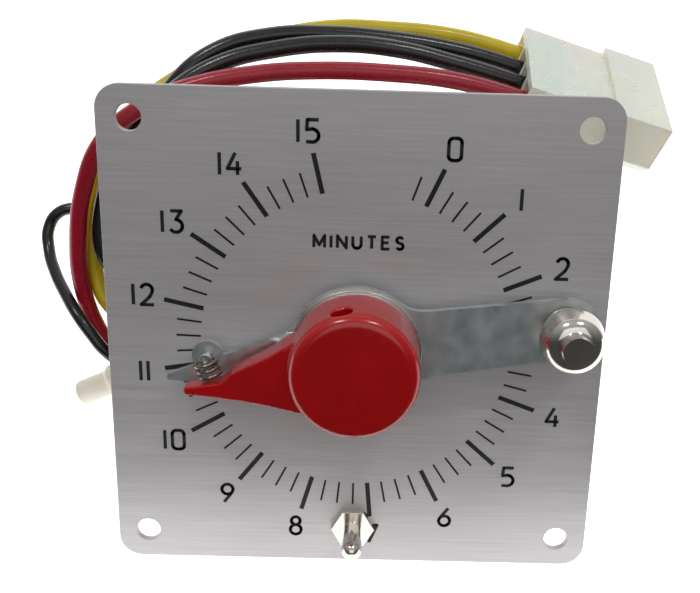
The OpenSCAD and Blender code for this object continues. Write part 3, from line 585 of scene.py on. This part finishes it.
def write(text, centre, height, gap):
    """Strokes of a text in the middle of a place, and the closed ones among them."""
    widths = [SHAPES[c][0] for c in text]
    left = -(sum(widths) + gap * (len(text) - 1)) / 2
    for character, width in zip(text, widths):
        for points, is_closed in SHAPES[character][1]:
            yield [centre + Vector((left + x, y - 0.5, 0)) * height * MM for x, y in points], is_closed
        left += width + gap


def make_text(name, texts, height, stroke, gap):
    """Texts printed on the plate, each a pair of the text and its middle."""
    bm = bmesh.new()
    for text, centre in texts:
        for run, is_closed in write(text, centre, height, gap):
            for start, end in zip(run, run[1:]):
                add_bar(bm, start, end, stroke * MM)
            if is_closed:
                add_bar(bm, run[-1], run[0], stroke * MM)
            for place in run if is_closed else run[1:-1]:
                add_joint(bm, place, stroke * MM)
    bm.transform(FROM_FRONT)
    return put(object_from(bm, name), body="panel", slot="black_plastic", material=INK)


def make_numbers():
    texts = [
        (str(minute), SCALE_CENTRE + dial_point(NUMBER_RADIUS, ZERO_ANGLE + MINUTE_ANGLE * minute))
        for minute in range(16)]
    make_text("scale_numbers", texts, DIGIT_HEIGHT - DIGIT_STROKE, DIGIT_STROKE, 0.36)


def make_ticks():
    bm = bmesh.new()
    for quarter in range(-1, 61):
        major = quarter % 4 == 0
        angle = ZERO_ANGLE + MINUTE_ANGLE * quarter / 4
        ends = [SCALE_CENTRE + dial_point(r, angle) for r in (TICK_START, MAJOR_END if major else MINOR_END)]
        add_bar(bm, *ends, (MAJOR_WIDTH if major else MINOR_WIDTH) * MM)
    bm.transform(FROM_FRONT)
    return put(object_from(bm, "scale_ticks"), body="panel", slot="black_plastic", material=INK)


def make_word():
    """The name of the scale's unit."""
    word_place = SCALE_CENTRE + Vector((0, WORD_PLACE, 0)) * MM
    make_text("scale_word", [("MINUTES", word_place)], 2.45, 0.62, 0.52)


make_numbers()
make_ticks()
make_word()

# ---------- the rest of the CAD parts, with their edges broken ----------

EDGE = {
    "dial_plate": 0.2, "set_lever": 0.3, "hub_washers": 0.12, "stop_stud": 0.2, "tip_rivet": 0.15,
    "knob_insert": 0.1, "knob_set_screw": 0.1, "bushing_nut": 0.25, "panel_bushing": 0.15,
    "front_frame": 0.15, "rear_frame": 0.15, "frame_pillars": 0.2, "pillar_screws": 0.3,
    "motor_can": 0.3, "motor_cover": 0.15, "motor_screws": 0.3, "motor_grommet": 0.4,
    "switch_case": 0.25, "switch_lid": 0.25, "switch_tabs": 0.08, "switch_screws": 0.3,
    "terminal_boots": 0.6, "harness_plug": 0.3, "plug_contacts": 0.1, "splice_cap": 0.5,
    "sleeve_collar": 0.1, "clutch_disc": 0.1, "switch_cam": 0.15, "stop_stud_nut": 0.25,
}
done = {node for piece in bpy.data.objects for node in piece.get("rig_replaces", [])}
for node in frame["nodes"]:
    if node not in done:
        softened(node, EDGE.get(node, 0.06))

# ---------- floor and light ----------

FLOOR_Z = min(plate_low.z, cad_low[2]) - 0.0003


def make_floor():
    bm = bmesh.new()
    # A white sweep that starts just in front of the plate, so that nothing white shows in the knob
    bmesh.ops.create_grid(bm, x_segments=2, y_segments=2, size=3)
    bmesh.ops.translate(bm, vec=(0, 3 - 0.03, FLOOR_Z), verts=bm.verts)
    floor = object_from(bm, "floor")
    bpy.context.collection.objects.link(floor)
    finish = Finish("pale_floor", (0.9, 0.9, 0.9), 0.6, emission_strength=0.95)
    finish.set(finish.shader, "Emission Color", (1, 1, 1, 1))
    finish.rough(finish.noise(40), 0.5, 0.7)
    floor.data.materials.append(finish.material)
    floor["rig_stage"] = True


def make_light(name, place, aim, size, power, color=(1, 1, 1)):
    data = bpy.data.lights.new(name, "AREA")
    data.shape = "RECTANGLE"
    data.size, data.size_y = size
    data.energy = power
    data.color = color
    light = bpy.data.objects.new(name, data)
    light.location = place
    light.rotation_euler = (Vector(aim) - Vector(place)).to_track_quat("-Z", "Y").to_euler()
    bpy.context.collection.objects.link(light)


def make_world():
    """A dim room in front of and below the dial, brighter overhead, with a white wall behind."""
    world = bpy.data.worlds.new("studio")
    world.use_nodes = True
    tree = world.node_tree
    background = tree.nodes["Background"]
    place = tree.nodes.new("ShaderNodeTexCoord")
    split = tree.nodes.new("ShaderNodeSeparateXYZ")
    tree.links.new(place.outputs["Generated"], split.inputs["Vector"])
    height = tree.nodes.new("ShaderNodeValToRGB")
    for element, (position, value) in zip(height.color_ramp.elements, ((0.45, 0.06), (0.9, 0.45))):
        element.position = position
        element.color = (value, value, value, 1)
    lift = tree.nodes.new("ShaderNodeMapRange")
    lift.inputs["From Min"].default_value = -1
    tree.links.new(split.outputs["Z"], lift.inputs["Value"])
    tree.links.new(lift.outputs["Result"], height.inputs["Fac"])
    behind = tree.nodes.new("ShaderNodeMapRange")
    behind.inputs["From Min"].default_value = 0.1
    behind.inputs["From Max"].default_value = 0.45
    tree.links.new(split.outputs["Y"], behind.inputs["Value"])
    mix = tree.nodes.new("ShaderNodeMix")
    mix.data_type = "RGBA"
    tree.links.new(behind.outputs["Result"], mix.inputs["Factor"])
    tree.links.new(height.outputs["Color"], mix.inputs["A"])
    mix.inputs["B"].default_value = (1.1, 1.1, 1.1, 1)
    tree.links.new(mix.outputs["Result"], background.inputs["Color"])
    background.inputs["Strength"].default_value = 1.0
    bpy.context.scene.world = world
    bpy.context.scene.view_settings.view_transform = "Standard"


make_floor()
make_world()
CENTRE = (0, 0, 0)
make_light("left_softbox", (-0.3, -0.4, 0.75), CENTRE, (0.16, 0.1), 1.1)
make_light("right_softbox", (0.3, -0.4, 0.75), CENTRE, (0.16, 0.1), 1.1)
make_light("front_fill", (0.1, -1.2, 0.3), CENTRE, (1.2, 0.8), 2.4)

plug_pieces = [bpy.data.objects[n + "_part"] for n in ("harness_plug", "plug_contacts")]
for node, (piece, length, exit_point, diameter) in wires.items():
    to_plug = node.startswith("wire")
    pieces = list(plug_pieces) if to_plug else []
    if node == "wire_black_far":
        pieces.append(bpy.data.objects["splice_cap_part"])
    tuple(exit_point)
